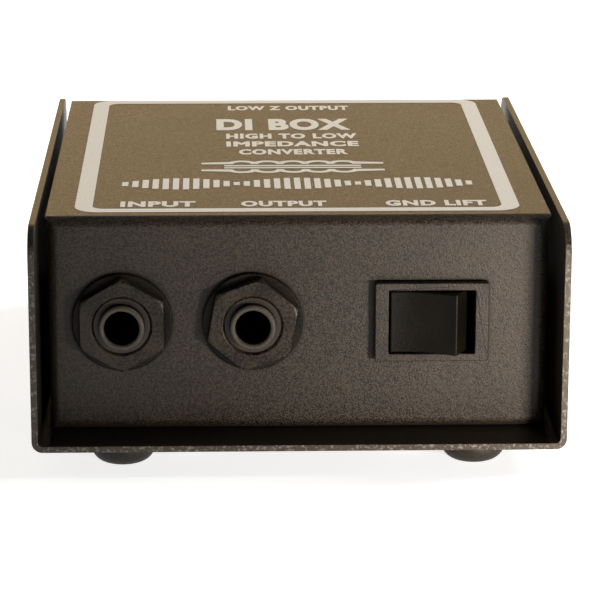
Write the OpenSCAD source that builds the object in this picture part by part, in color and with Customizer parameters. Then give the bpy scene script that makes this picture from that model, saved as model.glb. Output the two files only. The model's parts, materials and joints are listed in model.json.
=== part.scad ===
// Passive direct injection box: a folded sheet steel case on rubber bumpers, with two 6.35 mm jack
// sockets and a ground lift rocker switch in front, and a three-pin male connector at the rear.
// Millimetres. +Z is up, the front faces -Y, and the origin is at the middle of the footprint on the
// surface that the bumpers stand on.

/* [Case] */
// Width of the outer cover, across its side walls
case_w = 98.4; // [97:0.2:102]
// Length of the outer cover, front to back
case_l = 124; // [122:0.5:130]
// Height of the case without its bumpers
case_h = 42; // [41:0.5:44]
// Thickness of the sheet steel
sheet = 1.2; // [1:0.1:1.5]
// Width of the chassis, which leaves a gap inside each side wall
chassis_w = 93; // [92:0.2:94]
// Length of the chassis, over its front and rear panels
chassis_l = 109; // [107:0.5:110]
// Distance from the cover's front edge back to the front panel
panel_setback = 10; // [8:0.5:11]
// Outer radius of each fold in the sheet
fold_r = 2; // [1.8:0.1:2.4]
// Radius of the side walls' upper corners
wall_corner_r = 5.5; // [3:0.5:8]
// How far the chassis' top lies below the walls' top edges
roof_drop = 0.1; // [0.05:0.05:0.5]

/* [Bumpers] */
// Diameter of a bumper where it meets the case
bumper_d = 12; // [10:0.5:13]
// Height of a bumper
bumper_h = 4.5; // [3.5:0.1:5]
// Distance of each bumper's middle from the cover's middle line
bumper_x = 32.7; // [30:0.1:36]
// Distance of each bumper's middle from the cover's front or rear edge
bumper_inset = 10; // [8:0.5:12]

/* [Front panel] */
// Height of the controls' middle line above the case's underside
control_h = 22.2; // [21:0.1:23]
// Place of the input jack across the panel
input_x = -32.6; // [-33:0.1:-31.5]
// Place of the thru jack across the panel
thru_x = -8.5; // [-9:0.1:-7]
// Place of the rocker switch across the panel
switch_x = 24.6; // [23:0.1:26]

/* [Jacks] */
// Bore of the plated ferrule that takes a 6.35 mm plug
jack_bore_d = 6.5; // [6.4:0.05:6.7]
// Outer diameter of the ferrule
ferrule_d = 8.4; // [7.6:0.1:8.6]
// How far the ferrule stands in front of the panel
ferrule_proud = 5.2; // [4.5:0.1:6]
// Thread diameter of the plastic bush
bush_d = 10.4; // [10.2:0.1:11.2]
// Width across flats of the hexagon nut
jack_nut_af = 15.4; // [14:0.1:16]
// Thickness of the hexagon nut
jack_nut_h = 2.6; // [2:0.1:3]
// Diameter of the washer
jack_washer_d = 18.5; // [17:0.1:19]

/* [Switch] */
// Width of the switch bezel
bezel_w = 21; // [20.5:0.1:21.5]
// Height of the switch bezel
bezel_h = 15; // [14.6:0.1:15.5]
// Thickness of the switch bezel
bezel_t = 2; // [1.6:0.1:2.4]
// Width of the opening that the rocker moves in
rocker_gap_w = 16; // [16:0.1:16.4]
// Height of the opening that the rocker moves in
rocker_gap_h = 12.1; // [11:0.1:12.6]
// Swing of the rocker to each side of its middle position
rocker_throw = 13; // [10:1:13]

/* [Rear connector] */
// Height of the connector's middle above the surface
connector_z = 26.1; // [25:0.1:27]
// Inside diameter of the connector's barrel
connector_bore_d = 19.2; // [19:0.1:19.6]

/* [Inside] */
// Middle of the transformer across the case
transformer_x = -17; // [-18:0.5:-16]
// Middle of the transformer front to back
transformer_y = 6; // [4:0.5:8]
// Middle of the circuit board across the case
board_x = 28; // [27:0.5:29]
// Middle of the circuit board front to back
board_y = 5; // [3:0.5:7]

/* [Hidden] */
$fn = 64;

// Case
under_z = bumper_h;
roof_z = under_z + case_h - roof_drop;
floor_z = under_z + sheet;
front_y = panel_setback - case_l / 2;
rear_y = front_y + chassis_l;
control_z = under_z + control_h;
fold_in_r = fold_r - sheet;
edge_inset = 0.3;
side_flange = 8;
bottom_flange = 10;

// Screws and nuts, M3
screw_r = 1.5;
screw_hole_r = 1.65;
screw_head_r = 2.8;
screw_head_h = 1.9;
screw_l = 5;
nut_af = 5.5;
nut_h = 2.4;
clinch_spigot_r = 2.2;
clinch_r = 3.2;
case_screw_x = 20;
case_screw_inset = 6;

// Jacks: z runs out of the panel, from its outer face
washer_t = 1;
housing_w = 20;
housing_back = -28.2;
ferrule_back = -8;
chamber_w = 8;
chamber_low = -3.6;
chamber_high = 8.6;
chamber_back = -26.7;
tag_w = 3;
tag_t = 0.5;
tag_reach = 14;
spring_root = [-9.3, 6.1];
spring_root_r = 0.6;
spring_t = 0.4;
bush_sink = 0.4;
sleeve_tag_z = -7;

// Switch: z runs out of the panel, from its outer face
bezel_corner_r = 0.4;
switch_body_w = 18.8;
switch_body_h = 13;
switch_body_back = -16;
switch_floor = -14.6;
pivot_z = bezel_t - 6;
lever_z = pivot_z - 8.6;
lever_tilt = 8;
rocker_h = rocker_gap_h - 0.4;
rocker_tip = [6.21, 7.33];
rocker_dish = 1;
trunnion_r = 1.2;
trunnion_play = 0.06;
plunger_r = 1.42;
plunger_bore_r = 1.5;
plunger_tip = -6.5;
terminal_x = 4.9;
terminal_back = -23;

// Rear connector: z runs out of the panel, from its outer face
connector_flange = [26, 31, 2];
connector_barrel_r = 11.8;
connector_back = -18;
insert_front = -14;
pin_r = 1.2;
pin_circle_r = 5.6;
pin_angles = [165, 15, -90];
pin_tip = -1.5;
pin_back = -23;
connector_screw_at = [9.5, 12];

// Transformer
core = [32, 13, 27];
leg_w = 9;
yoke_h = 4.5;
window_w = (core.x - 2 * leg_w) / 2;
strap_t = 0.8;
strap_w = 12;
strap_foot = 9;
winding_top = [8.4, 12.4];

// Circuit board
board = [32, 34, 1.6];
spacer_h = 6;
board_z = floor_z + spacer_h;
spacer_at = [-11, -12];
post_at = [[-12, 6], [-12, 0], [-4, -13], [6, -13]];
post_h = 4;
post_r = 0.65;

// Wires
wire_r = 0.6;
wire_sides = 8;
wire_rings = 20;
wire_gap = 0.2;
wire_pitch = 0.75;

// A plate lying in XY whose corners are rounded
module rounded_plate(size, r) {
    linear_extrude(size.z)
        rounded_rect(size.x, size.y, r);
}

module rounded_rect(w, h, r) {
    square([w - 2 * r, h], center = true);
    square([w, h - 2 * r], center = true);
    for (sx = [-1, 1], sy = [-1, 1])
        translate([sx * (w / 2 - r), sy * (h / 2 - r)])
            circle(r);
}

// An L-shaped strip in section, with a rounded fold at the origin's corner, running along +X and +Y
module folded_corner(leg_x, leg_y) {
    translate([fold_r, 0])
        square([leg_x - fold_r, sheet]);
    translate([0, fold_r])
        square([sheet, leg_y - fold_r]);
    translate([fold_r, fold_r])
        intersection() {
            difference() {
                circle(fold_r);
                circle(fold_in_r);
            }
            translate([-fold_r, -fold_r])
                square(fold_r);
        }
}

// Places on the panels: z then runs out of the panel and y up it
module on_front(x, z = control_z) {
    translate([x, front_y, z])
        rotate([90, 0, 0])
            children();
}

module on_rear(x, z) {
    translate([x, rear_y, z])
        rotate([90, 0, 180])
            children();
}

// Outer cover: bottom and two side walls, folded from one sheet
module cover_section() {
    for (side = [0, 1])
        mirror([side, 0])
            translate([-case_w / 2, 0])
                folded_corner(case_w / 2, case_h);
}

module wall_outline() {
    translate([0, case_h / 2])
        rounded_rect(case_l, case_h, wall_corner_r);
    translate([-case_l / 2, 0])
        square([case_l, case_h / 2]);
}

module underside_places() {
    for (sx = [-1, 1], y = [front_y + case_screw_inset, rear_y - case_screw_inset])
        translate([sx * case_screw_x, y, under_z])
            children();
    transformer_screw_places()
        children();
    spacer_places()
        children();
}

module transformer_screw_places() {
    for (sx = [-1, 1])
        translate([
            transformer_x + sx * (core.x / 2 + strap_t + strap_foot / 2), transformer_y, under_z
        ])
            children();
}

module spacer_places() {
    for (side = [-1, 1])
        translate([board_x + side * spacer_at.x, board_y + side * spacer_at.y, under_z])
            children();
}

module outer_cover() {
    color("#6e5f49")
        difference() {
            intersection() {
                translate([0, case_l / 2, under_z])
                    rotate([90, 0, 0])
                        linear_extrude(case_l)
                            cover_section();
                translate([-case_w / 2, 0, under_z])
                    rotate([90, 0, 90])
                        linear_extrude(case_w)
                            wall_outline();
            }
            underside_places()
                translate([0, 0, -sheet])
                    cylinder(r = screw_hole_r, h = 3 * sheet);
        }
}

// Chassis: top, front and rear panels from one sheet, with folded side and bottom flanges
module chassis_section() {
    half_h = (roof_z - floor_z) / 2;
    for (end = [0, 1])
        mirror([end, 0])
            translate([-chassis_l / 2, 0])
                for (low = [0, 1])
                    translate([0, low ? 0 : 2 * half_h])
                        mirror([0, low ? 0 : 1])
                            folded_corner(low ? bottom_flange : chassis_l / 2, half_h);
}

module chassis_profile(width) {
    translate([-width / 2, (front_y + rear_y) / 2, floor_z])
        rotate([90, 0, 90])
            linear_extrude(width)
                chassis_section();
}

// The side flanges and their upright folds, which meet the other folds in rounded corners
module chassis_corner_flanges() {
    flange_x = chassis_w / 2 - edge_inset;
    height = roof_z - floor_z;
    intersection() {
        for (sx = [0, 1], end = [0, 1])
            mirror([sx, 0, 0])
                translate([-flange_x, end ? rear_y : front_y, floor_z])
                    mirror([0, end, 0])
                        linear_extrude(height)
                            folded_corner(2 * fold_r, side_flange);
        translate([-flange_x, (front_y + rear_y) / 2, floor_z + height / 2])
            rotate([90, 0, 90])
                linear_extrude(2 * flange_x)
                    rounded_rect(chassis_l, height, fold_r);
    }
}

// The top is wider than the panels' flat part, and tapers to a thin tip over each corner
module chassis_top() {
    flat_x = chassis_w / 2 - edge_inset - fold_r;
    tip_t = 0.3;
    half = [[0, 0], [chassis_w / 2, 0], [chassis_w / 2, -tip_t], [flat_x, -fold_r], [0, -fold_r]];
    intersection() {
        chassis_profile(chassis_w);
        translate([0, rear_y, roof_z])
            rotate([90, 0, 0])
                linear_extrude(chassis_l)
                    for (side = [0, 1])
                        mirror([side, 0])
                            polygon(half);
    }
}

module front_holes() {
    for (x = [input_x, thru_x])
        on_front(x)
            translate([0, 0, -2 * sheet])
                cylinder(d = bush_d + 0.3, h = 3 * sheet);
    on_front(switch_x)
        translate([-switch_body_w / 2 - 0.2, -switch_body_h / 2 - 0.2, -2 * sheet])
            cube([switch_body_w + 0.4, switch_body_h + 0.4, 3 * sheet]);
}

module rear_holes() {
    on_rear(0, connector_z)
        translate([0, 0, -2 * sheet]) {
            cylinder(r = connector_barrel_r + 0.2, h = 3 * sheet);
            connector_screw_places()
                cylinder(r = screw_hole_r, h = 3 * sheet);
        }
}

module chassis() {
    flat_w = chassis_w - 2 * edge_inset - 2 * fold_r;
    color("#5a5046")
        difference() {
            union() {
                chassis_profile(flat_w);
                chassis_top();
                chassis_corner_flanges();
            }
            front_holes();
            rear_holes();
            for (sx = [-1, 1], y = [front_y + case_screw_inset, rear_y - case_screw_inset])
                translate([sx * case_screw_x, y, floor_z - sheet])
                    cylinder(r = clinch_spigot_r, h = 3 * sheet);
        }
}

// Bumpers: rubber feet with a rounded lower edge and a small flat to stand on
module bumper(sx, sy) {
    edge_r = bumper_d / 4;
    flat_r = bumper_d / 2 - edge_r;
    color("#2d2920")
        translate([sx * bumper_x, sy * (case_l / 2 - bumper_inset), under_z])
            mirror([0, 0, 1])
                rotate_extrude() {
                    square([bumper_d / 2, bumper_h - edge_r]);
                    square([flat_r, bumper_h]);
                    intersection() {
                        translate([flat_r, bumper_h - edge_r])
                            circle(edge_r);
                        square([bumper_d / 2, bumper_h]);
                    }
                }
}

// M3 pan head screw: the underside of its head is at z = 0 and its shank runs up
module pan_screw(length) {
    dome_r = (screw_head_r ^ 2 + screw_head_h ^ 2) / (2 * screw_head_h) + 0.6;
    slot = [3.2, 0.7, 1.1];
    cylinder(r = screw_r, h = length);
    difference() {
        translate([0, 0, -screw_head_h])
            intersection() {
                cylinder(r = screw_head_r, h = screw_head_h);
                translate([0, 0, dome_r])
                    sphere(dome_r);
            }
        for (turn = [0, 90])
            rotate(turn)
                translate([-slot.x / 2, -slot.y / 2, -screw_head_h - 0.1])
                    cube([slot.x, slot.y, slot.z + 0.1]);
    }
}

module m3_nut() {
    difference() {
        cylinder(d = nut_af / cos(30), h = nut_h, $fn = 6);
        translate([0, 0, -1])
            cylinder(r = screw_r, h = nut_h + 2);
    }
}

module underside_screws() {
    color("#8d8d8a")
        underside_places()
            pan_screw(screw_l);
}

module clinch_nuts() {
    color("#b4b2a8")
        for (sx = [-1, 1], y = [front_y + case_screw_inset, rear_y - case_screw_inset])
            translate([sx * case_screw_x, y, floor_z])
                difference() {
                    union() {
                        cylinder(r = clinch_spigot_r, h = sheet);
                        translate([0, 0, sheet])
                            cylinder(r = clinch_r, h = nut_h);
                    }
                    translate([0, 0, -1])
                        cylinder(r = screw_r, h = sheet + nut_h + 2);
                }
}

// Jack pieces, each about its own axis
module jack_housing() {
    bush_front = washer_t + jack_nut_h - bush_sink;
    color("#26241f")
        difference() {
            union() {
                translate([0, 0, housing_back])
                    rounded_plate([housing_w, housing_w, -sheet - housing_back], 1.5);
                translate([0, 0, -sheet - 1])
                    cylinder(d = bush_d, h = sheet + 1 + bush_front);
            }
            translate([0, 0, ferrule_back])
                cylinder(d = ferrule_d + 0.04, h = 20);
            translate([-chamber_w / 2, chamber_low, chamber_back])
                cube([chamber_w, chamber_high - chamber_low, ferrule_back - chamber_back]);
            jack_tag_space(0.05);
        }
}

// The two slots that the solder tags pass through, widened by play all round
module jack_tag_space(play) {
    width = tag_w + 2 * play;
    depth = tag_t + 2 * play;
    translate([-width / 2, chamber_high - 1, spring_root.x - depth / 2])
        cube([width, housing_w, depth]);
    translate([-width / 2, -housing_w, sleeve_tag_z - depth / 2])
        cube([width, housing_w - ferrule_d / 2, depth]);
}

module jack_washer() {
    color("#3c3832")
        difference() {
            cylinder(d = jack_washer_d, h = washer_t);
            translate([0, 0, -1])
                cylinder(d = bush_d + 0.1, h = washer_t + 2);
        }
}

module jack_nut(turn) {
    corner_r = jack_nut_af / 2 / cos(30);
    bevel = 0.9;
    sink = 0.45;
    color("#33302a")
        translate([0, 0, washer_t])
            difference() {
                intersection() {
                    rotate(turn)
                        cylinder(r = corner_r, h = jack_nut_h, $fn = 6);
                    rotate_extrude()
                        polygon([
                            [0, 0], [corner_r, 0], [corner_r, jack_nut_h - bevel / 2],
                            [corner_r - bevel, jack_nut_h], [0, jack_nut_h]
                        ]);
                }
                translate([0, 0, -1])
                    cylinder(d = bush_d + 0.1, h = jack_nut_h + 2);
                translate([0, 0, jack_nut_h - sink])
                    cylinder(r1 = bush_d / 2, r2 = bush_d / 2 + sink, h = sink + 0.001);
            }
}

module jack_ferrule() {
    color("#8c8a84")
        translate([0, 0, ferrule_back])
            difference() {
                cylinder(d = ferrule_d, h = ferrule_proud - ferrule_back);
                translate([0, 0, -1])
                    cylinder(d = jack_bore_d, h = ferrule_proud - ferrule_back + 2);
            }
}

// Tip spring: a leaf from its root to a bump that the plug's tip lifts, drawn as [z, y] points
module jack_tip_spring() {
    lower = [
        [spring_root.x, spring_root.y - 0.2], [-17.6, 5.4], [-20.4, 2.6], [-21.2, 2.6], [-23.6, 5.2]
    ];
    upper = [for (p = lower) [p.x, p.y + spring_t]];
    outline = concat(lower, [for (i = [len(upper) - 1:-1:0]) upper[i]]);
    color("#b9a46a")
        rotate([0, -90, 0])
            translate([0, 0, -tag_w / 2]) {
                linear_extrude(tag_w)
                    polygon(outline);
                translate(spring_root)
                    cylinder(r = spring_root_r, h = tag_w);
            }
}

module jack_tags() {
    tip_from = spring_root.y + spring_root_r + 0.2;
    color("#b9a46a") {
        translate([-tag_w / 2, tip_from, spring_root.x - tag_t / 2])
            cube([tag_w, tag_reach - tip_from, tag_t]);
        translate([-tag_w / 2, -tag_reach, sleeve_tag_z - tag_t / 2])
            cube([tag_w, tag_reach - ferrule_d / 2, tag_t]);
    }
}

// Switch pieces
module switch_housing() {
    barb = 0.7;
    color("#4b433b")
        difference() {
            union() {
                rounded_plate([bezel_w, bezel_h, bezel_t], bezel_corner_r);
                translate([-switch_body_w / 2, -switch_body_h / 2, switch_body_back])
                    cube([switch_body_w, switch_body_h, -switch_body_back]);
                for (side = [0, 1])
                    mirror([side, 0, 0])
                        translate([switch_body_w / 2, 2.5, 0])
                            rotate([90, 0, 0])
                                linear_extrude(5)
                                    polygon([[0, -sheet - 0.1], [barb, -sheet - 0.1], [0, -7]]);
            }
            translate([-rocker_gap_w / 2, -rocker_gap_h / 2, switch_floor])
                cube([rocker_gap_w, rocker_gap_h, bezel_t - switch_floor + 1]);
            translate([0, 0, pivot_z])
                rotate([90, 0, 0])
                    cylinder(r = trunnion_r + trunnion_play, h = 2 * bezel_h, center = true);
            for (x = [0, terminal_x])
                translate([x - 0.45, -2.45, switch_body_back - 1])
                    cube([0.9, 4.9, 4]);
        }
    color("#4b433b")
        translate([-terminal_x, 0, switch_floor])
            cylinder(r = 0.8, h = 1.1);
}

// The rocker at its middle position, about its own pivot
module rocker_body() {
    dish_r = (rocker_tip.x ^ 2 + rocker_dish ^ 2) / (2 * rocker_dish);
    half = [rocker_tip, [7.3, 3], [6.9, -1], [5.5, -2.2]];
    outline = concat(half, [for (i = [len(half) - 1:-1:0]) [-half[i].x, half[i].y]]);
    difference() {
        union() {
            rotate([90, 0, 0])
                linear_extrude(rocker_h, center = true)
                    polygon(outline);
            rotate([90, 0, 0])
                cylinder(r = trunnion_r, h = rocker_h + 1, center = true);
            translate([0, 0, -5])
                cylinder(r = 2.3, h = 5);
        }
        rotate([90, 0, 0])
            translate([0, rocker_tip.y - rocker_dish + dish_r, 0])
                cylinder(r = dish_r, h = 2 * rocker_h, center = true, $fn = 160);
        translate([0, 0, -6])
            cylinder(r = plunger_bore_r, h = 8);
    }
}

// Places the rocker's pieces with its left end pressed in
module rocked() {
    translate([0, 0, pivot_z])
        rotate([0, -rocker_throw, 0])
            children();
}

module switch_rocker() {
    color("#27231c")
        rocked()
            rocker_body();
}

module switch_plunger() {
    color("#d8d4c8")
        rocked()
            translate([0, 0, plunger_tip]) {
                cylinder(r = plunger_r, h = 4.5);
                intersection() {
                    sphere(plunger_r);
                    translate([-plunger_r, -plunger_r, -plunger_r])
                        cube(2 * plunger_r - 0.001);
                }
            }
}

module switch_plunger_spring() {
    coil_r = 1.05;
    gauge = 0.16;
    turns = 5;
    low = plunger_tip + 4.5 + gauge;
    high = 2 - gauge;
    route = [for (i = [0:turns * 12]) [
        coil_r * cos(i * 30), coil_r * sin(i * 30), low + (high - low) * i / (turns * 12)
    ]];
    color("#a8a8a4")
        rocked()
            tube(route, gauge, 6, [0, 0, 1]);
}

module switch_contact_lever() {
    lever = [11, 4, 0.6];
    ridge_r = 0.6;
    color("#b87d4b")
        translate([0, 0, lever_z])
            rotate([0, lever_tilt, 0]) {
                translate([-lever.x / 2, -lever.y / 2, 0])
                    cube(lever);
                rotate([90, 0, 0])
                    cylinder(r = ridge_r, h = lever.y, center = true);
            }
}

module switch_terminals() {
    blade = [0.8, 4.8];
    saddle_top = lever_z - 0.35;
    saddle_low = lever_z - 1;
    contact_top = lever_z - 0.9;
    color("#c9c4b4") {
        difference() {
            union() {
                translate([-blade.x / 2, -blade.y / 2, terminal_back])
                    cube([blade.x, blade.y, saddle_low - terminal_back]);
                translate([-1.6, -blade.y / 2, saddle_low])
                    cube([3.2, blade.y, saddle_top - saddle_low]);
            }
            translate([0, 0, lever_z])
                rotate([90, 0, 0])
                    cylinder(r = 0.7, h = 2 * blade.y, center = true);
        }
        translate([terminal_x - blade.x / 2, -blade.y / 2, terminal_back])
            cube([blade.x, blade.y, contact_top - 0.4 - terminal_back]);
        translate([terminal_x, 0, contact_top - 0.4])
            cylinder(r = 0.8, h = 0.4);
    }
}

// Rear connector pieces
module connector_screw_places() {
    for (side = [-1, 1])
        translate([side * connector_screw_at.x, side * connector_screw_at.y, 0])
            children();
}

module connector_shell() {
    key = [2, 0.9];
    color("#9a9893")
        difference() {
            union() {
                rounded_plate(connector_flange, 3);
                translate([0, 0, connector_back])
                    cylinder(r = connector_barrel_r, h = -connector_back);
            }
            difference() {
                translate([0, 0, insert_front])
                    cylinder(d = connector_bore_d, h = 20);
                translate([-key.x / 2, -connector_bore_d / 2 - 1, insert_front])
                    cube([key.x, key.y + 1, 20]);
            }
            translate([0, 0, connector_back - 1])
                cylinder(r = connector_barrel_r - 1.6, h = insert_front - connector_back - 1);
            translate([0, 0, connector_back])
                cylinder(r = connector_bore_d / 2 - 1, h = -connector_back);
            connector_screw_places()
                translate([0, 0, -1])
                    cylinder(r = screw_hole_r, h = 4);
        }
}

module connector_insert() {
    ledge = insert_front - 2;
    color("#1f2a24")
        difference() {
            union() {
                translate([0, 0, connector_back])
                    cylinder(r = connector_barrel_r - 1.65, h = ledge - connector_back);
                translate([0, 0, ledge])
                    cylinder(r = connector_bore_d / 2 - 1.05, h = insert_front - ledge);
            }
            pin_places()
                translate([0, 0, connector_back - 1])
                    cylinder(r = pin_r, h = 8);
        }
}

module pin_places() {
    for (angle = pin_angles)
        translate([pin_circle_r * cos(angle), pin_circle_r * sin(angle), 0])
            children();
}

module connector_pins() {
    color("#c8b078")
        pin_places() {
            translate([0, 0, pin_back])
                cylinder(r = pin_r, h = pin_tip - pin_r - pin_back);
            translate([0, 0, pin_tip - pin_r])
                sphere(pin_r);
        }
}

module connector_screws() {
    color("#a5a39d")
        on_rear(0, connector_z)
            connector_screw_places()
                translate([0, 0, connector_flange.z])
                    mirror([0, 0, 1])
                        pan_screw(connector_flange.z + sheet + nut_h + 0.5);
}

module connector_nuts() {
    color("#b4b2a8")
        on_rear(0, connector_z)
            connector_screw_places()
                translate([0, 0, -sheet - nut_h])
                    m3_nut();
}

// Transformer pieces, about the middle of the core's foot
module at_transformer() {
    translate([transformer_x, transformer_y, floor_z])
        children();
}

module upright(depth) {
    translate([0, depth / 2, 0])
        rotate([90, 0, 0])
            linear_extrude(depth)
                children();
}

module transformer_core() {
    window_h = core.z - 2 * yoke_h;
    color("#5b5a58")
        at_transformer()
            upright(core.y)
                difference() {
                    translate([-core.x / 2, 0])
                        square([core.x, core.z]);
                    for (sx = [-1, 1])
                        translate([sx * (leg_w + window_w) / 2 - window_w / 2, yoke_h])
                            square([window_w, window_h]);
                }
}

module bobbin_ring(reach, height, inner) {
    difference() {
        translate([-reach.x, -reach.y, 0])
            cube([2 * reach.x, 2 * reach.y, height]);
        translate([-inner.x, -inner.y, -1])
            cube([2 * inner.x, 2 * inner.y, height + 2]);
    }
}

module transformer_bobbin() {
    window_h = core.z - 2 * yoke_h;
    inner = [leg_w / 2 + 0.1, core.y / 2 + 0.1];
    color("#d9d2bd")
        at_transformer()
            translate([0, 0, yoke_h + 0.2]) {
                bobbin_ring(inner + [0.8, 0.8], window_h - 0.4, inner);
                for (z = [0, window_h - 1.4])
                    translate([0, 0, z])
                        bobbin_ring([leg_w / 2 + window_w * 0.6, core.y / 2 + 6.6], 1, inner);
            }
}

module transformer_winding() {
    height = core.z - 2 * yoke_h - 2.4;
    hole = [leg_w / 2 + 0.9, core.y / 2 + 0.9];
    color("#b8843c")
        at_transformer()
            translate([0, 0, yoke_h + 1.2])
                difference() {
                    rounded_plate([2 * winding_top.x, 2 * winding_top.y, height], 2);
                    translate([-hole.x, -hole.y, -1])
                        cube([2 * hole.x, 2 * hole.y, height + 2]);
                }
}

module transformer_frame() {
    outer_x = core.x / 2 + strap_t;
    color("#a9a69c")
        difference() {
            at_transformer()
                upright(strap_w) {
                    translate([-outer_x, core.z])
                        square([2 * outer_x, strap_t]);
                    for (side = [0, 1])
                        mirror([side, 0]) {
                            translate([core.x / 2, 0])
                                square([strap_t, core.z + strap_t]);
                            translate([core.x / 2, 0])
                                square([strap_t + strap_foot, strap_t]);
                        }
                }
            transformer_screw_places()
                cylinder(r = screw_hole_r, h = 3 * sheet);
        }
}

module transformer_nuts() {
    color("#b4b2a8")
        transformer_screw_places()
            translate([0, 0, sheet + strap_t])
                m3_nut();
}

// Circuit board pieces
module circuit_board() {
    color("#3f6b46")
        difference() {
            translate([board_x, board_y, board_z])
                rounded_plate(board, 1.5);
            spacer_places()
                cylinder(r = screw_hole_r, h = 3 * spacer_h);
        }
}

module board_spacers() {
    color("#c4c1b6")
        spacer_places()
            translate([0, 0, sheet])
                difference() {
                    cylinder(d = nut_af / cos(30), h = spacer_h, $fn = 6);
                    translate([0, 0, -1])
                        cylinder(r = screw_r, h = spacer_h + 2);
                }
}

module board_screws() {
    color("#a5a39d")
        spacer_places()
            translate([0, 0, sheet + spacer_h + board.z])
                mirror([0, 0, 1])
                    pan_screw(board.z + 1.6);
}

module on_board(x, y) {
    translate([board_x + x, board_y + y, board_z + board.z])
        children();
}

module resistor() {
    body = [1.2, 6.4];
    lead_r = 0.3;
    lead_span = 5;
    rise = 1.6;
    translate([0, 0, rise]) {
        rotate([90, 0, 0])
            cylinder(r = body.x, h = body.y, center = true);
        for (side = [-1, 1]) {
            translate([0, side * (body.y / 2 + lead_span) / 2, 0])
                rotate([90, 0, 0])
                    cylinder(r = lead_r, h = lead_span - body.y / 2 + 0.6, center = true);
            translate([0, side * lead_span, 0])
                sphere(lead_r);
            translate([0, side * lead_span, -rise])
                cylinder(r = lead_r, h = rise);
        }
    }
}

module board_resistors() {
    color("#c7a97c")
        for (x = [-2, 3])
            on_board(x, 1)
                resistor();
}

module board_capacitor() {
    body = [5, 13, 9];
    color("#b5402c")
        on_board(10, 0) {
            translate([0, 0, 0.6])
                rounded_plate(body, 1);
            for (side = [-1, 1])
                translate([0, side * 5, 0])
                    cylinder(r = 0.3, h = 0.6);
        }
}

module board_posts() {
    color("#c8b078")
        for (at = post_at)
            on_board(at.x, at.y)
                cylinder(r = post_r, h = post_h);
}

// A wire's centre line is a cubic curve from one end to the other, leaving along start and end
function curve(a, start, end, b, t) =
    (1 - t) ^ 3 * a + 3 * (1 - t) ^ 2 * t * (a + start) + 3 * (1 - t) * t ^ 2 * (b + end) + t ^ 3 * b;

function unit(v) = v / norm(v);

function tangent(route, i) = unit(
    route[min(i + 1, len(route) - 1)] - route[max(i - 1, 0)]
);

// A round tube swept along a route; side gives a direction that the route never runs along
module tube(route, r, sides, side) {
    rings = [for (i = [0:len(route) - 1])
        let (along = tangent(route, i), across = unit(cross(along, side)), up = cross(along, across))
            [for (k = [0:sides - 1])
                route[i] + r * (cos(k * 360 / sides) * across + sin(k * 360 / sides) * up)]];
    last = (len(route) - 1) * sides;
    walls = [for (i = [0:len(route) - 2], k = [0:sides - 1], half = [0, 1])
        let (next = (k + 1) % sides, near = i * sides, far = (i + 1) * sides)
            half == 0 ? [near + k, far + k, far + next] : [near + k, far + next, near + next]];
    caps = [
        [for (k = [0:sides - 1]) k],
        [for (k = [sides - 1:-1:0]) last + k]
    ];
    polyhedron(points = [for (ring = rings, p = ring) p], faces = concat(walls, caps));
}

// A wire from a to b, which stops just short of the face at each end
module wire(a, start, end, b, side = [1, 0.02, 0.03]) {
    from = a + wire_gap * unit(start);
    to = b + wire_gap * unit(end);
    tube(
        [for (i = [0:wire_rings]) curve(from, start, end, to, i / wire_rings)],
        wire_r, wire_sides, side
    );
}

// Wire ends
function tip_tag_end(x, dx) = [
    x + dx, front_y - spring_root.x + tag_t / 2, control_z + tag_reach - 1.5
];

function sleeve_tag_end(x, dx, up = 0) = [
    x + dx, front_y - sleeve_tag_z + tag_t / 2, control_z - tag_reach + 0.8 + up
];

function pin_end(i) = [
    -pin_circle_r * cos(pin_angles[i]),
    rear_y + pin_back,
    connector_z + pin_circle_r * sin(pin_angles[i])
];

function post_end(i) = [
    board_x + post_at[i].x, board_y + post_at[i].y, board_z + board.z + post_h
];

function winding_end(dx, side, z) = [
    transformer_x + dx, transformer_y + side * winding_top.y, floor_z + z
];

module jack_link_wires() {
    color("#b4342c")
        wire(tip_tag_end(input_x, wire_pitch), [0, 6, 0],
             [0, 6, 0], tip_tag_end(thru_x, -wire_pitch), [0, 0, 1]);
    color("#242424")
        wire(sleeve_tag_end(input_x, wire_pitch), [0, 6, 0],
             [0, 6, 0], sleeve_tag_end(thru_x, -wire_pitch), [0, 0, 1]);
}

module primary_wires() {
    color("#b4342c")
        wire(tip_tag_end(thru_x, wire_pitch), [0, 30, 4], [0, -14, 3], winding_end(3, -1, 17));
    color("#242424")
        wire(sleeve_tag_end(thru_x, wire_pitch), [0, 22, -1], [0, -14, -3], winding_end(-3, -1, 9));
}

module secondary_wires() {
    color("#e3e0d8")
        wire(winding_end(-3, 1, 17), [0, 8, 1.5], [0, -8, 0], pin_end(1));
    color("#3a5f9a")
        wire(winding_end(3, 1, 9), [0, 8, -1.5], [0, -8, -1.5], pin_end(2));
}

module ground_wires() {
    color("#3f7a3d")
        wire(post_end(0), [0, 0, 8], [0, -14, 0], pin_end(0));
    color("#242424")
        wire(post_end(1), [-1.5, 0, 6], [0, 20, -3.5], sleeve_tag_end(thru_x, 0, 1.5), [0.1, 0.5, 1]);
}

module switch_wires() {
    terminal_y = front_y - terminal_back;
    color("#c9b23a")
        wire(post_end(2), [0, 0, 7], [0, 6, 0], [switch_x, terminal_y, control_z + 1]);
    color("#6b6b6b")
        wire(post_end(3), [0, 0, 7], [0, 6, 0], [switch_x + terminal_x, terminal_y, control_z + 1]);
}

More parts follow.
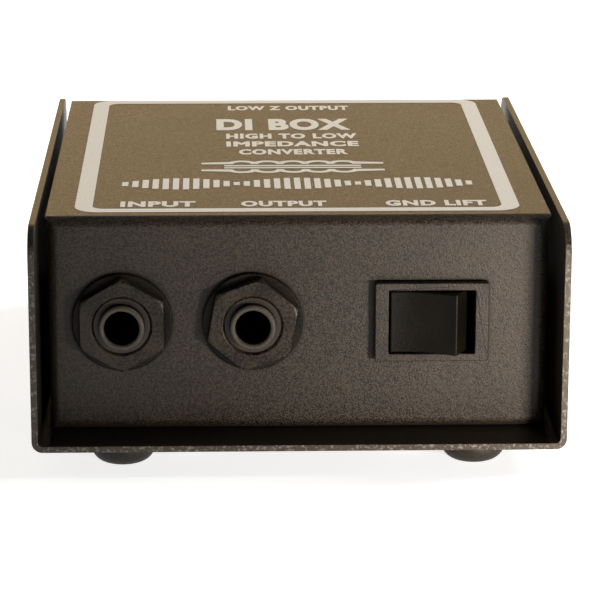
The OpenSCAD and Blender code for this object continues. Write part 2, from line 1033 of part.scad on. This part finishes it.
outer_cover();
chassis();
bumper(-1, -1);  // bumper_front_left
bumper(1, -1);  // bumper_front_right
bumper(-1, 1);  // bumper_rear_left
bumper(1, 1);  // bumper_rear_right
underside_screws();
clinch_nuts();
on_front(input_x) jack_housing();  // input_jack_housing
on_front(input_x) jack_washer();  // input_jack_washer
on_front(input_x) jack_nut(30);  // input_jack_nut
on_front(input_x) jack_ferrule();  // input_jack_ferrule
on_front(input_x) jack_tip_spring();  // input_jack_tip_spring
on_front(input_x) jack_tags();  // input_jack_tags
on_front(thru_x) jack_housing();  // thru_jack_housing
on_front(thru_x) jack_washer();  // thru_jack_washer
on_front(thru_x) jack_nut(20);  // thru_jack_nut
on_front(thru_x) jack_ferrule();  // thru_jack_ferrule
on_front(thru_x) jack_tip_spring();  // thru_jack_tip_spring
on_front(thru_x) jack_tags();  // thru_jack_tags
on_front(switch_x) switch_housing();
on_front(switch_x) switch_rocker();
on_front(switch_x) switch_plunger();
on_front(switch_x) switch_plunger_spring();
on_front(switch_x) switch_contact_lever();
on_front(switch_x) switch_terminals();
on_rear(0, connector_z) connector_shell();
on_rear(0, connector_z) connector_insert();
on_rear(0, connector_z) connector_pins();
connector_screws();
connector_nuts();
transformer_core();
transformer_bobbin();
transformer_winding();
transformer_frame();
transformer_nuts();
circuit_board();
board_spacers();
board_screws();
board_resistors();
board_capacitor();
board_posts();
jack_link_wires();
primary_wires();
secondary_wires();
ground_wires();
switch_wires();
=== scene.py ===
import json
from math import acos, cos, pi, radians, sin

import bmesh
import bpy
from mathutils import Matrix, Vector

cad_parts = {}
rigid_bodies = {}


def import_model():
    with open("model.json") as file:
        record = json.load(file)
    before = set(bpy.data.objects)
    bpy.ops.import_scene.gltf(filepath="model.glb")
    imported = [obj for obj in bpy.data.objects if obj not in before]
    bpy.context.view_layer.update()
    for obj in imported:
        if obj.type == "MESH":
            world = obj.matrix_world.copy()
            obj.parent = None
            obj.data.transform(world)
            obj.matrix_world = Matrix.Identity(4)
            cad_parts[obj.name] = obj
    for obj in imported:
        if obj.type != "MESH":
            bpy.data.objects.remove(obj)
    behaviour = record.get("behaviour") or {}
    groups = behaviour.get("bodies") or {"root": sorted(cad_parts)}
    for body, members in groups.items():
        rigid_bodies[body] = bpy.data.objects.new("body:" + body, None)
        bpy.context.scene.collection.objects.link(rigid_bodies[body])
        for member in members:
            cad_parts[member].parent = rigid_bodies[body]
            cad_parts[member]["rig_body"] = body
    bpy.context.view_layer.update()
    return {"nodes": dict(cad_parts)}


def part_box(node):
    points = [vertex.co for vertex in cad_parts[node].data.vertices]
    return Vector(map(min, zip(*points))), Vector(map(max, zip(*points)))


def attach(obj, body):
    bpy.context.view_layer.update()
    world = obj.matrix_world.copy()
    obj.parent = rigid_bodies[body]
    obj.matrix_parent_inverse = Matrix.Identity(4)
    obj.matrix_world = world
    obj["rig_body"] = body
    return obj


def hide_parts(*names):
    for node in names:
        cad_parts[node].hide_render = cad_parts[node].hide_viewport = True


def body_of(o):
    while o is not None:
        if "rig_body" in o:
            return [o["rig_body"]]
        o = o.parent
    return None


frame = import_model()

# Everything is in metres, in the part's frame: +X right, +Z up, and the front panel faces -Y
MM = 0.001
ROOF_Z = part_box("chassis")[1][2]

# Points closer than this are one point, and edges sharper than this are hard
WELD = 0.001 * MM
HARD_EDGE = radians(32)


# ---------------------------------------------------------------- materials

class Look:
    """A procedural material, built up one node at a time around its shader."""

    def __init__(self, name, **values):
        self.material = bpy.data.materials.new(name)
        self.material.use_nodes = True
        self.tree = self.material.node_tree
        self.shader = self.tree.nodes["Principled BSDF"]
        self.place = self.add("ShaderNodeTexCoord").outputs["Object"]
        self.height = None
        for socket, value in values.items():
            self.shader.inputs[socket.replace("_", " ")].default_value = value

    def add(self, kind, **settings):
        """A new node of a kind, with its settings."""
        node = self.tree.nodes.new(kind)
        for setting, value in settings.items():
            setattr(node, setting, value)
        return node

    def link(self, source, node, socket):
        self.tree.links.new(source, node.inputs[socket])

    def stretched(self, factors):
        """The object coordinates, scaled differently along each axis."""
        node = self.add("ShaderNodeVectorMath", operation="MULTIPLY")
        self.link(self.place, node, 0)
        node.inputs[1].default_value = factors
        return node.outputs[0]

    def along(self, axis, source=None):
        """One component of the object coordinates, or of another vector."""
        node = self.add("ShaderNodeSeparateXYZ")
        self.link(source or self.place, node, 0)
        return node.outputs[axis]

    def noise(self, size, detail=2, roughness=0.5, place=None):
        """Noise from 0 to 1 whose features are about size across."""
        node = self.add("ShaderNodeTexNoise")
        self.link(place or self.place, node, "Vector")
        node.inputs["Scale"].default_value = 1 / size
        node.inputs["Detail"].default_value = detail
        node.inputs["Roughness"].default_value = roughness
        return node.outputs["Fac"]

    def bands(self, size, axis, distortion=0):
        """Parallel bands across the axis, one every size."""
        node = self.add("ShaderNodeTexWave", bands_direction=axis)
        self.link(self.place, node, "Vector")
        node.inputs["Scale"].default_value = pi / (10 * size)
        node.inputs["Distortion"].default_value = distortion
        return node.outputs["Fac"]

    def openness(self, reach):
        """1 on open faces, falling to 0 in corners and gaps no wider than the reach."""
        node = self.add("ShaderNodeAmbientOcclusion", samples=8)
        node.inputs["Distance"].default_value = reach
        return node.outputs["AO"]

    def math(self, operation, a, b):
        """The result, held between 0 and 1, of an operation on two values or sockets."""
        node = self.add("ShaderNodeMath", operation=operation, use_clamp=True)
        for socket, value in enumerate((a, b)):
            if isinstance(value, (int, float)):
                node.inputs[socket].default_value = value
            else:
                self.link(value, node, socket)
        return node.outputs[0]

    def ramp(self, factor, stops):
        """A colour for each value of the factor, from (position, colour) stops."""
        node = self.add("ShaderNodeValToRGB")
        self.link(factor, node, "Fac")
        elements = node.color_ramp.elements
        while len(elements) < len(stops):
            elements.new(0.5)
        for element, (position, colour) in zip(elements, stops):
            element.position = position
            element.color = (*colour, 1)
        return node.outputs["Color"]

    def scale(self, factor, low, high, from_low=0, from_high=1):
        """The factor's range from from_low to from_high, spread from low to high."""
        node = self.add("ShaderNodeMapRange")
        self.link(factor, node, "Value")
        for socket, value in (("From Min", from_low), ("From Max", from_high),
                              ("To Min", low), ("To Max", high)):
            node.inputs[socket].default_value = value
        return node.outputs["Result"]

    def mix(self, factor, a, b):
        """Colour a where the factor is 0 and b where it is 1."""
        node = self.add("ShaderNodeMix", data_type="RGBA")
        self.link(factor, node, "Factor")
        for socket, value in ((6, a), (7, b)):
            if isinstance(value, tuple):
                node.inputs[socket].default_value = (*value, 1)
            else:
                self.link(value, node, socket)
        return node.outputs[2]

    def colour(self, source):
        self.link(source, self.shader, "Base Color")

    def rough(self, source):
        self.link(source, self.shader, "Roughness")

    def paint_corner_shade(self, colour, roughness, reach):
        """Sets the colour, with painted shade that turns it black in corners and gaps, and the roughness,
        which is higher there.
        """
        open_faces = self.openness(reach)
        # Painted shade: the colour goes black where nearby faces close in
        self.colour(self.mix(open_faces, (0, 0, 0), colour))
        corner_dulling = self.scale(open_faces, 0.5, 0, 0.3, 0.9)
        self.rough(self.math("ADD", roughness, corner_dulling))

    def bump(self, source, depth, strength=1.0):
        """A relief of the given depth, added to what is there already."""
        node = self.add("ShaderNodeBump")
        node.inputs["Strength"].default_value = strength
        node.inputs["Distance"].default_value = depth
        self.link(source, node, "Height")
        if self.height:
            self.link(self.height, node, "Normal")
        self.height = node.outputs["Normal"]
        self.link(self.height, self.shader, "Normal")


def cut_edge_mask(look):
    """1 on the sheet's cut edges, which face front or back, and 0 elsewhere."""
    normal = look.add("ShaderNodeNewGeometry").outputs["True Normal"]
    facing = look.add("ShaderNodeMath", operation="ABSOLUTE")
    look.link(look.along("Y", normal), facing, 0)
    return look.math("GREATER_THAN", facing.outputs[0], 0.9)


def powder_coat(name, dark, light, edges=False):
    """Baked near-black powder coat: fine grain, faint orange peel, light specks on the cut edges that are
    part wear and part painted glint, and painted shade in corners and gaps.
    """
    look = Look(name, IOR=1.5, Specular_IOR_Level=0.27)
    grain = look.noise(0.30 * MM, 3, 0.7)
    cloud = look.noise(14 * MM, 3)
    shade = look.math("MULTIPLY", grain, look.scale(cloud, 0.9, 1.1))
    base = look.ramp(shade, [(0.44, dark), (0.60, light)])
    if edges:
        # Light specks on the cut edges: part real wear, part painted glint
        specks = look.noise(0.6 * MM, 2, 0.7)
        worn_and_glinting = look.ramp(specks, [(0.53, light), (0.68, (0.14, 0.14, 0.13))])
        base = look.mix(cut_edge_mask(look), base, worn_and_glinting)
    # Painted shade darkens the coat in corners and gaps
    look.paint_corner_shade(base, look.scale(grain, 0.30, 0.60, 0.35, 0.65), 0.9 * MM)
    look.bump(look.noise(1.3 * MM, 2), 0.06 * MM, 0.6)
    look.bump(grain, 0.06 * MM, 1.0)
    return look.material


def moulded(name, dark, light, roughness=0.5, grain=0.25, shine=0.3, depth=0.02):
    """Moulded plastic with a spark-eroded grain, its size and depth in millimetres, and painted shade in
    its corners and gaps.
    """
    look = Look(name, IOR=1.49, Specular_IOR_Level=shine)
    fine = look.noise(grain * MM, 2, 0.6)
    shade = look.math("ADD", look.scale(look.noise(6 * MM, 3), 0, 0.4), look.scale(fine, 0, 0.6))
    base = look.ramp(shade, [(0.42, dark), (0.58, light)])
    # Painted shade darkens the plastic in corners and gaps
    look.paint_corner_shade(base, look.scale(fine, roughness - 0.1, roughness + 0.12, 0.35, 0.65), 0.7 * MM)
    look.bump(fine, depth * MM, 0.8)
    return look.material


def metal(name, dark, light, roughness=0.3, streak=(1, 1, 1)):
    """Plated or bare metal with fine scratches, drawn out along an axis by the streak factors."""
    look = Look(name, Metallic=1.0)
    scratches = look.noise(0.3 * MM, 4, 0.7, look.stretched(streak))
    tarnish = look.noise(5 * MM, 4)
    look.colour(look.ramp(tarnish, [(0.3, dark), (0.7, light)]))
    look.rough(look.scale(scratches, roughness - 0.1, roughness + 0.15))
    look.bump(scratches, 0.01 * MM, 0.4)
    return look.material


def rubber():
    """Black rubber, a little dusty on its high spots."""
    look = Look("bumper_rubber", IOR=1.5, Specular_IOR_Level=0.25)
    fine = look.noise(0.4 * MM, 4, 0.7)
    look.colour(look.ramp(fine, [(0.35, (0.006, 0.005, 0.003)), (0.75, (0.026, 0.022, 0.015))]))
    look.rough(look.scale(fine, 0.45, 0.7))
    look.bump(fine, 0.05 * MM, 0.6)
    return look.material


def plated_ferrule():
    """Dark plating at the rim, with painted shade that turns it black further into the bore."""
    look = Look("ferrule_plating", IOR=1.5, Specular_IOR_Level=0.15)
    fine = look.noise(0.2 * MM, 2)
    plating = look.ramp(fine, [(0.35, (0.030, 0.027, 0.021)), (0.65, (0.065, 0.059, 0.047))])
    rim_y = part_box("input_jack_ferrule")[0][1]
    # Painted shade: the plating goes black past the rim, deeper into the bore
    bore_shade = look.scale(look.along("Y"), 0, 1, rim_y + 0.5 * MM, rim_y + 1 * MM)
    look.colour(look.mix(bore_shade, plating, (0.001, 0.001, 0.001)))
    look.rough(look.scale(fine, 0.30, 0.45))
    look.bump(fine, 0.01 * MM, 0.5)
    return look.material


def ink():
    """Screen printed ink, slightly uneven where it covers the coat's grain."""
    look = Look("marking_ink", IOR=1.45)
    grain = look.noise(0.4 * MM, 3, 0.7)
    look.colour(look.ramp(grain, [(0.3, (0.64, 0.62, 0.57)), (0.6, (0.78, 0.76, 0.70))]))
    look.rough(look.scale(grain, 0.5, 0.7))
    look.bump(grain, 0.02 * MM, 0.5)
    return look.material


def laminations():
    """The edges of stacked steel sheets."""
    look = Look("lamination_steel", Metallic=0.9)
    sheets = look.bands(0.5 * MM, "Y", 0.4)
    look.colour(look.ramp(sheets, [(0.2, (0.07, 0.065, 0.06)), (0.6, (0.3, 0.29, 0.28))]))
    look.rough(look.scale(sheets, 0.6, 0.4))
    look.bump(sheets, 0.08 * MM, 0.8)
    return look.material


def tape():
    """Polyester winding tape, wound in overlapping turns."""
    look = Look("winding_tape", Coat_Weight=0.4, Coat_Roughness=0.2)
    turns = look.bands(2.2 * MM, "Z", 0.6)
    look.colour(look.ramp(turns, [(0.1, (0.5, 0.3, 0.06)), (0.5, (0.72, 0.5, 0.14))]))
    look.rough(look.scale(look.noise(2 * MM), 0.3, 0.5))
    look.bump(turns, 0.1 * MM, 0.6)
    return look.material


def laminate():
    """Glass fibre board under green solder resist, with its weave showing faintly."""
    look = Look("board_laminate", Coat_Weight=0.5, Coat_Roughness=0.15)
    weave = look.math("MULTIPLY", look.bands(0.6 * MM, "X"), look.bands(0.6 * MM, "Y"))
    look.colour(look.ramp(weave, [(0.2, (0.01, 0.09, 0.03)), (0.8, (0.02, 0.14, 0.05))]))
    look.rough(look.scale(weave, 0.35, 0.5))
    look.bump(weave, 0.02 * MM, 0.4)
    return look.material


def painted(name, dark, light, bands=None):
    """A glossy dipped component, with coloured bands along Y when they are given."""
    look = Look(name, Coat_Weight=0.5, Coat_Roughness=0.1)
    base = look.ramp(look.noise(1.5 * MM, 3), [(0.3, dark), (0.7, light)])
    if bands:
        stripes = look.ramp(look.bands(1.5 * MM, "Y"), [(0.8, (0, 0, 0)), (0.9, (1, 1, 1))])
        base = look.mix(stripes, base, bands)
    look.colour(base)
    look.rough(look.scale(look.noise(0.8 * MM, 3), 0.3, 0.5))
    look.bump(look.noise(1 * MM, 2), 0.03 * MM, 0.4)
    return look.material


def sleeve(name, colour):
    """PVC wire sleeving, faintly mottled."""
    look = Look(name, IOR=1.5)
    pale = tuple(min(1, 1.25 * channel) for channel in colour)
    look.colour(look.ramp(look.noise(1.2 * MM, 3), [(0.3, colour), (0.7, pale)]))
    look.rough(look.scale(look.noise(0.5 * MM, 3), 0.35, 0.5))
    look.bump(look.noise(0.6 * MM, 2), 0.02 * MM, 0.4)
    return look.material


COAT_DARK = (0.003, 0.002, 0.001)
COAT_LIGHT = (0.035, 0.027, 0.018)

LOOKS = {
    "cover_coat": powder_coat("cover_coat", COAT_DARK, COAT_LIGHT, edges=True),
    "panel_coat": powder_coat("panel_coat", COAT_DARK, COAT_LIGHT),
    "bumper_rubber": rubber(),
    "zinc_steel": metal("zinc_steel", (0.45, 0.44, 0.40), (0.62, 0.61, 0.56), 0.35),
    "screw_steel": metal("screw_steel", (0.30, 0.30, 0.29), (0.50, 0.49, 0.47), 0.3),
    "black_plastic": moulded(
        "black_plastic", (0.012, 0.009, 0.006), (0.024, 0.018, 0.012),
        roughness=0.45),
    "jack_nut_finish": moulded(
        "jack_nut_finish", (0.003, 0.002, 0.001), (0.024, 0.018, 0.011),
        roughness=0.40, grain=0.5, shine=0.20, depth=0.10),
    # The washer's colour is darker than the nut's as painted shade, for the nut's shadow lying over it
    "jack_washer_finish": moulded(
        "jack_washer_finish", (0.002, 0.002, 0.001), (0.010, 0.008, 0.005),
        roughness=0.42, grain=0.5, shine=0.12, depth=0.05),
    "ferrule_plating": plated_ferrule(),
    "contact_brass": metal("contact_brass", (0.55, 0.40, 0.14), (0.78, 0.60, 0.26), 0.28),
    "switch_plastic": moulded(
        "switch_plastic", (0.003, 0.002, 0.001), (0.018, 0.013, 0.009),
        roughness=0.45, grain=0.35, shine=0.3, depth=0.09),
    # The rocker's plastic is darker and less shiny than the housing's, as painted shade for its shaded end
    # face
    "rocker_plastic": moulded(
        "rocker_plastic", (0.002, 0.002, 0.001), (0.004, 0.003, 0.002),
        roughness=0.42, grain=0.4, shine=0.08, depth=0.03),
    "insert_plastic": moulded(
        "insert_plastic", (0.012, 0.012, 0.012), (0.024, 0.023, 0.022),
        roughness=0.5),
    "spring_steel": metal("spring_steel", (0.42, 0.42, 0.40), (0.60, 0.60, 0.58), 0.25),
    "contact_copper": metal("contact_copper", (0.60, 0.28, 0.14), (0.80, 0.44, 0.26), 0.3),
    "connector_casting": metal("connector_casting", (0.40, 0.39, 0.37), (0.56, 0.55, 0.52), 0.36),
    "pin_plating": metal("pin_plating", (0.66, 0.66, 0.62), (0.82, 0.82, 0.78), 0.2, (1, 0.1, 1)),
    "lamination_steel": laminations(),
    "bobbin_plastic": moulded("bobbin_plastic", (0.55, 0.50, 0.40), (0.70, 0.65, 0.53), roughness=0.45),
    "winding_tape": tape(),
    "board_laminate": laminate(),
    "resistor_coat": painted("resistor_coat", (0.45, 0.30, 0.16), (0.62, 0.44, 0.26), (0.25, 0.03, 0.02)),
    "capacitor_coat": painted("capacitor_coat", (0.45, 0.05, 0.02), (0.62, 0.10, 0.04)),
}
WIRE_COLOURS = {
    "jack_link_wires": (0.42, 0.03, 0.02),
    "primary_wires": (0.42, 0.03, 0.02),
    "secondary_wires": (0.04, 0.11, 0.32),
    "ground_wires": (0.05, 0.19, 0.05),
    "switch_wires": (0.58, 0.44, 0.03),
}


# ---------------------------------------------------------------- pieces

def add_piece(name, mesh, body, material):
    """A new piece with its material, riding on a CAD body."""
    piece = bpy.data.objects.new(name, mesh)
    bpy.context.scene.collection.objects.link(piece)
    mesh.materials.clear()
    mesh.materials.append(material)
    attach(piece, body)
    return piece


def round_edges(piece, width):
    """Rounds the piece's hard edges and keeps its flat faces flat."""
    bevel = piece.modifiers.new("edges", "BEVEL")
    bevel.width = width
    bevel.segments = 2
    bevel.limit_method = "ANGLE"
    bevel.angle_limit = HARD_EDGE
    bevel.miter_outer = "MITER_ARC"
    normals = piece.modifiers.new("normals", "WEIGHTED_NORMAL")
    normals.keep_sharp = True


def dress(node, width):
    """A copy of a CAD node with its seams welded and its hard edges rounded, which stands for the node."""
    source = frame["nodes"][node]
    slot = source.data.materials[0].name
    shape = bmesh.new()
    shape.from_mesh(source.data)
    bmesh.ops.remove_doubles(shape, verts=shape.verts, dist=WELD)
    bmesh.ops.dissolve_limit(shape, angle_limit=radians(0.5), verts=shape.verts, edges=shape.edges)
    for face in shape.faces:
        face.smooth = True
    mesh = bpy.data.meshes.new(f"{node}_shape")
    shape.to_mesh(mesh)
    shape.free()
    mesh.set_sharp_from_angle(angle=HARD_EDGE)
    piece = add_piece(f"{node}_shape", mesh, body_of(source)[0], LOOKS[slot])
    round_edges(piece, width)
    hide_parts(node)


def carry_over():
    """Gives every CAD node the procedural material of its slot, and each set of wires its own colour."""
    for node, source in frame["nodes"].items():
        for place, material in enumerate(source.data.materials):
            look = LOOKS.get(material.name)
            if node in WIRE_COLOURS:
                look = sleeve(f"{node}_sleeve", WIRE_COLOURS[node])
            source.material_slots[place].link = "OBJECT"
            source.material_slots[place].material = look


# Rounding of the hard edges, in millimetres
EDGE_WIDTHS = {
    "outer_cover": 0.3,
    "chassis": 0.12,
    "underside_screws": 0.15,
    "input_jack_washer": 0.2,
    "input_jack_nut": 0.35,
    "thru_jack_washer": 0.2,
    "thru_jack_nut": 0.35,
    "input_jack_housing": 0.25,
    "thru_jack_housing": 0.25,
    "input_jack_ferrule": 0.35,
    "thru_jack_ferrule": 0.35,
    "switch_housing": 0.3,
    "switch_rocker": 0.35,
    "connector_shell": 0.4,
    "connector_insert": 0.2,
    "connector_pins": 0.3,
    "connector_screws": 0.15,
    "bumper_front_left": 0.3,
    "bumper_front_right": 0.3,
    "bumper_rear_left": 0.3,
    "bumper_rear_right": 0.3,
}

for node_name, edge_width in EDGE_WIDTHS.items():
    dress(node_name, edge_width * MM)


# ---------------------------------------------------------------- printed markings

# The ink's underside, just clear of the top, and its thickness
PRINT_Z = ROOF_Z + 0.005 * MM
PRINT_T = 0.03 * MM


def flat_shape(lines):
    """A thin print on the top, from lines of ink: each is its two edges, and whether it is closed.

    The edges are lists of (x, y) in millimetres, with as many points in one as in the other.
    """
    shape = bmesh.new()
    for edges, closed in lines:
        low, high = (
            [[shape.verts.new((x * MM, y * MM, z)) for x, y in edge] for edge in edges]
            for z in (PRINT_Z, PRINT_Z + PRINT_T)
        )
        count = len(edges[0])
        for i in range(count if closed else count - 1):
            j = (i + 1) % count
            for side in (low, high):
                shape.faces.new((side[0][i], side[1][i], side[1][j], side[0][j]))
            for edge in (0, 1):
                shape.faces.new((low[edge][i], low[edge][j], high[edge][j], high[edge][i]))
        if not closed:
            for i in (0, -1):
                shape.faces.new((low[0][i], low[1][i], high[1][i], high[0][i]))
    return shape


def rounded_outline(left, right, low, high, r, steps=8):
    """The outline of a rectangle whose corners are rounded, counter-clockwise."""
    corners = (
        (right - r, low + r, -90),
        (right - r, high - r, 0),
        (left + r, high - r, 90),
        (left + r, low + r, 180),
    )
    outline = []
    for x, y, start in corners:
        for i in range(steps + 1):
            angle = radians(start + 90 * i / steps)
            outline.append((x + r * cos(angle), y + r * sin(angle)))
    return outline


def border():
    """The printed frame: a closed line between two rounded rectangles."""
    outer = rounded_outline(left=-41.4, right=41.4, low=-47.8, high=55, r=4.5)
    inner = rounded_outline(left=-38.1, right=38.1, low=-45.1, high=51.6, r=2.2)
    return [((inner, outer), True)]


def bar(x, y, w, h):
    """A rectangular line centred on (x, y)."""
    left, right = x - w / 2, x + w / 2
    low, high = y - h / 2, y + h / 2
    return ((((left, low), (right, low)), ((left, high), (right, high))), False)


def coil_line(x, y, up, bumps=5, r=2.5, width=1.4, lead=18, steps=14):
    """A drawn coil: half rings side by side, which rise when up is 1, with a lead at each end."""
    inner = [(x - lead, y)]
    outer = [(x - lead, y + up * width)]
    meeting = acos(r / (r + width / 2))
    for i in range(bumps):
        middle = x + 2 * r * (i - (bumps - 1) / 2)
        for edge, radius, start in ((inner, r - width / 2, 0), (outer, r + width / 2, meeting)):
            for step in range(steps + 1):
                angle = pi - start - (pi - 2 * start) * step / steps
                edge.append((middle + radius * cos(angle), y + up * radius * sin(angle)))
    inner.append((x + lead, y))
    outer.append((x + lead, y + up * width))
    return ((inner, outer), False)


def transformer_symbol(x, y):
    """The usual drawing of a transformer: two coils with a core between them."""
    core = [bar(x, y + side * 0.9, 27, 1.1) for side in (1, -1)]
    return core + [coil_line(x, y + side * 2.3, side) for side in (1, -1)]


def level_bars(x, y, width, height, count=35):
    """A plain row of upright bars, tall in the middle of each of three swells, like a sound level."""
    swells = 3
    lowest = 0.25
    pitch = width / count
    bars = []
    for i in range(count):
        swell = abs(sin(pi * swells * (i + 0.5) / count))
        bar_x = x - width / 2 + (i + 0.5) * pitch
        bars.append(bar(bar_x, y, 0.62 * pitch, height * (lowest + (1 - lowest) * swell)))
    return bars


def add_print(name, shape):
    """The printed shape as a piece on the top."""
    bmesh.ops.remove_doubles(shape, verts=shape.verts, dist=WELD)
    bmesh.ops.recalc_face_normals(shape, faces=shape.faces)
    for face in shape.faces:
        face.smooth = False
    mesh = bpy.data.meshes.new(name)
    shape.to_mesh(mesh)
    shape.free()
    add_piece(name, mesh, "case", INK)


def add_words(name, words, x, y, width, height):
    """Printed block capitals, centred on (x, y) and fitted to a width and height in millimetres."""
    curve = bpy.data.curves.new(name, "FONT")
    curve.body = words
    curve.resolution_u = 4
    curve.extrude = 0.01
    # The bevel thickens the strokes, so the letters stand a little further apart
    curve.bevel_depth = 0.055
    curve.bevel_resolution = 0
    curve.space_character = 1.14
    carrier = bpy.data.objects.new(name, curve)
    flat = bpy.data.meshes.new_from_object(carrier)
    bpy.data.objects.remove(carrier)
    shape = bmesh.new()
    shape.from_mesh(flat)
    bpy.data.meshes.remove(flat)
    low = Vector([min(v.co[i] for v in shape.verts) for i in range(3)])
    high = Vector([max(v.co[i] for v in shape.verts) for i in range(3)])
    for v in shape.verts:
        across, up, out = ((v.co[i] - low[i]) / (high[i] - low[i]) for i in range(3))
        v.co.x = (x + (across - 0.5) * width) * MM
        v.co.y = (y + (up - 0.5) * height) * MM
        v.co.z = PRINT_Z + out * PRINT_T
    add_print(name, shape)


INK = ink()

# Each line of words with its middle, width and height in millimetres
WORDS = {
    "input_words": ("INPUT", -26, -41.5, 14, 4.4),
    "output_words": ("OUTPUT", -2.5, -41.5, 16, 4.4),
    "lift_words": ("GND LIFT", 26, -41.5, 19, 4.4),
    "title_words": ("DI BOX", -1, 29.5, 28, 11.5),
    "purpose_words_1": ("HIGH TO LOW", 0.5, 18, 27, 5),
    "purpose_words_2": ("IMPEDANCE", 0.5, 10.5, 27, 5),
    "purpose_words_3": ("CONVERTER", 0.5, 3, 22, 5),
    "rear_words": ("LOW Z OUTPUT", 0.5, 46.5, 26, 4.6),
}
add_print("printed_border", flat_shape(border()))
add_print("printed_symbol", flat_shape(transformer_symbol(0, -10.5)))
add_print("printed_levels", flat_shape(level_bars(0.5, -25, 68, 9.5)))
for words_name, words_place in WORDS.items():
    add_words(words_name, *words_place)

carry_over()


# ---------------------------------------------------------------- floor, light and camera

def add_floor():
    """A plain pale floor."""
    mesh = bpy.data.meshes.new("floor")
    half = 4
    corners = [(-half, -half, 0), (half, -half, 0), (half, half, 0), (-half, half, 0)]
    mesh.from_pydata(corners, [], [(0, 1, 2, 3)])
    floor = bpy.data.objects.new("floor", mesh)
    bpy.context.scene.collection.objects.link(floor)
    look = Look("floor_paper", Roughness=0.9, Emission_Color=(1, 1, 1, 1), Emission_Strength=0.8)
    look.colour(look.ramp(look.noise(0.3, 2), [(0.3, (0.80, 0.80, 0.79)), (0.7, (0.82, 0.82, 0.81))]))
    mesh.materials.append(look.material)


def add_panel_light(name, position, target, size, power, colour, spread=180):
    """A soft rectangular light aimed at target, which the camera doesn't see."""
    data = bpy.data.lights.new(name, "AREA")
    data.shape = "RECTANGLE"
    data.size, data.size_y = size
    data.energy = power
    data.color = colour
    data.spread = radians(spread)
    light = bpy.data.objects.new(name, data)
    bpy.context.scene.collection.objects.link(light)
    light.location = position
    light.rotation_euler = (Vector(target) - Vector(position)).to_track_quat("-Z", "Y").to_euler()
    light.visible_camera = False


def add_world(strength, colour):
    """An even, dim surround."""
    world = bpy.data.worlds.new("studio")
    world.use_nodes = True
    background = world.node_tree.nodes["Background"]
    background.inputs["Color"].default_value = (*colour, 1)
    background.inputs["Strength"].default_value = strength
    bpy.context.scene.world = world


def add_camera():
    """A viewpoint in front and a little left of the middle, looking down at 15 degrees."""
    place = Vector((-15.075, -571.40, 173.907)) * MM
    yaw, pitch, roll = 0.0295, 0.2691, 0.0021
    forward = Vector((sin(yaw) * cos(pitch), cos(yaw) * cos(pitch), -sin(pitch)))
    level = Vector((cos(yaw), -sin(yaw), 0))
    upright = level.cross(forward)
    right = cos(roll) * level + sin(roll) * upright
    up = cos(roll) * upright - sin(roll) * level
    data = bpy.data.cameras.new("camera")
    data.lens = 175.07
    data.sensor_width = 36
    data.clip_start = 0.01
    data.clip_end = 30
    camera = bpy.data.objects.new("camera", data)
    bpy.context.scene.collection.objects.link(camera)
    turn = Matrix((right, up, -forward)).transposed().to_4x4()
    camera.matrix_world = Matrix.Translation(place) @ turn
    bpy.context.scene.camera = camera


add_floor()
add_world(strength=0.08, colour=(1, 1, 1))
add_panel_light(
    "key_light", position=(0.165, -0.27, 0.012), target=(0.05, -0.05, 0.024),
    size=(0.05, 0.02), power=0.095, colour=(1, 0.85, 0.73), spread=40)
add_panel_light(
    "side_light", position=(1.2, 0.5, 1.1), target=(0, 0, 0.03),
    size=(0.9, 0.9), power=30, colour=(1, 1, 1))
add_panel_light(
    "rear_card", position=(0, 1.3, 0.38), target=(0, 0, 0.04),
    size=(2.0, 0.75), power=9, colour=(1, 0.69, 0.34))
add_camera()
bpy.context.scene.view_settings.view_transform = "Standard"
